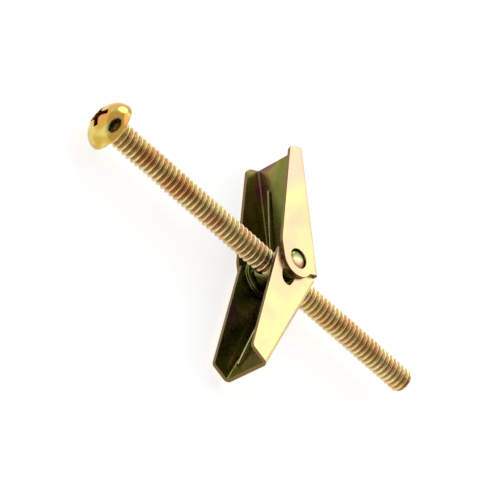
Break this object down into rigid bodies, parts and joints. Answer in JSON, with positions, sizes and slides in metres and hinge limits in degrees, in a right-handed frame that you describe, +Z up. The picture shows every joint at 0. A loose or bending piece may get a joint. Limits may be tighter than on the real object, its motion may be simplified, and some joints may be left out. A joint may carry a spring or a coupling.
{
  "type": "spring toggle bolt",
  "caption": "Round-head machine screw with a trunnion nut, two sprung sheet-metal wings and a torsion spring, for fixing to hollow walls.",
  "frame": {"origin": "centre of the screw head's flat bearing face", "axes": "+X along the screw from the head towards its tip, +Z up along the wings' pivot axis as the part lies on its side, +Y towards the open outer wing"},
  "size_m": [0.08, 0.0482, 0.0122],
  "materials": {
    "screw_steel": "zinc plated steel with a yellow chromate film, bright, faintly iridescent",
    "nut_steel": "turned steel, zinc plated with a yellow chromate film",
    "wing_steel": "pressed sheet steel, zinc plated with a yellow chromate film, pale gold with pink and green tints",
    "spring_steel": "zinc plated spring wire with a thin yellow chromate film"
  },
  "bodies": {
    "screw": {"machine_screw": "screw_steel"},
    "nut": {"trunnion_nut": "nut_steel", "torsion_spring": "spring_steel"},
    "outer_wing_body": {"outer_wing": "wing_steel"},
    "inner_wing_body": {"inner_wing": "wing_steel"}
  },
  "joints": [
    {"name": "nut_travel", "type": "slide", "parent": "screw", "child": "nut", "axis": [1, 0, 0], "range_m": [-0.0168, 0.0315]},
    {"name": "outer_wing_pivot", "type": "hinge", "parent": "nut", "child": "outer_wing_body", "pos_m": [0.041, 0, 0], "axis": [0, 0, 1], "range_deg": [0, 65], "stiffness_Nm_per_rad": 0.035, "springref_deg": -21.2, "deforming": ["torsion_spring"]},
    {"name": "inner_wing_pivot", "type": "hinge", "parent": "nut", "child": "inner_wing_body", "pos_m": [0.041, 0, 0], "axis": [0, 0, -1], "range_deg": [0, 77], "stiffness_Nm_per_rad": 0.035, "springref_deg": -21.2, "deforming": ["torsion_spring"]}
  ]
}
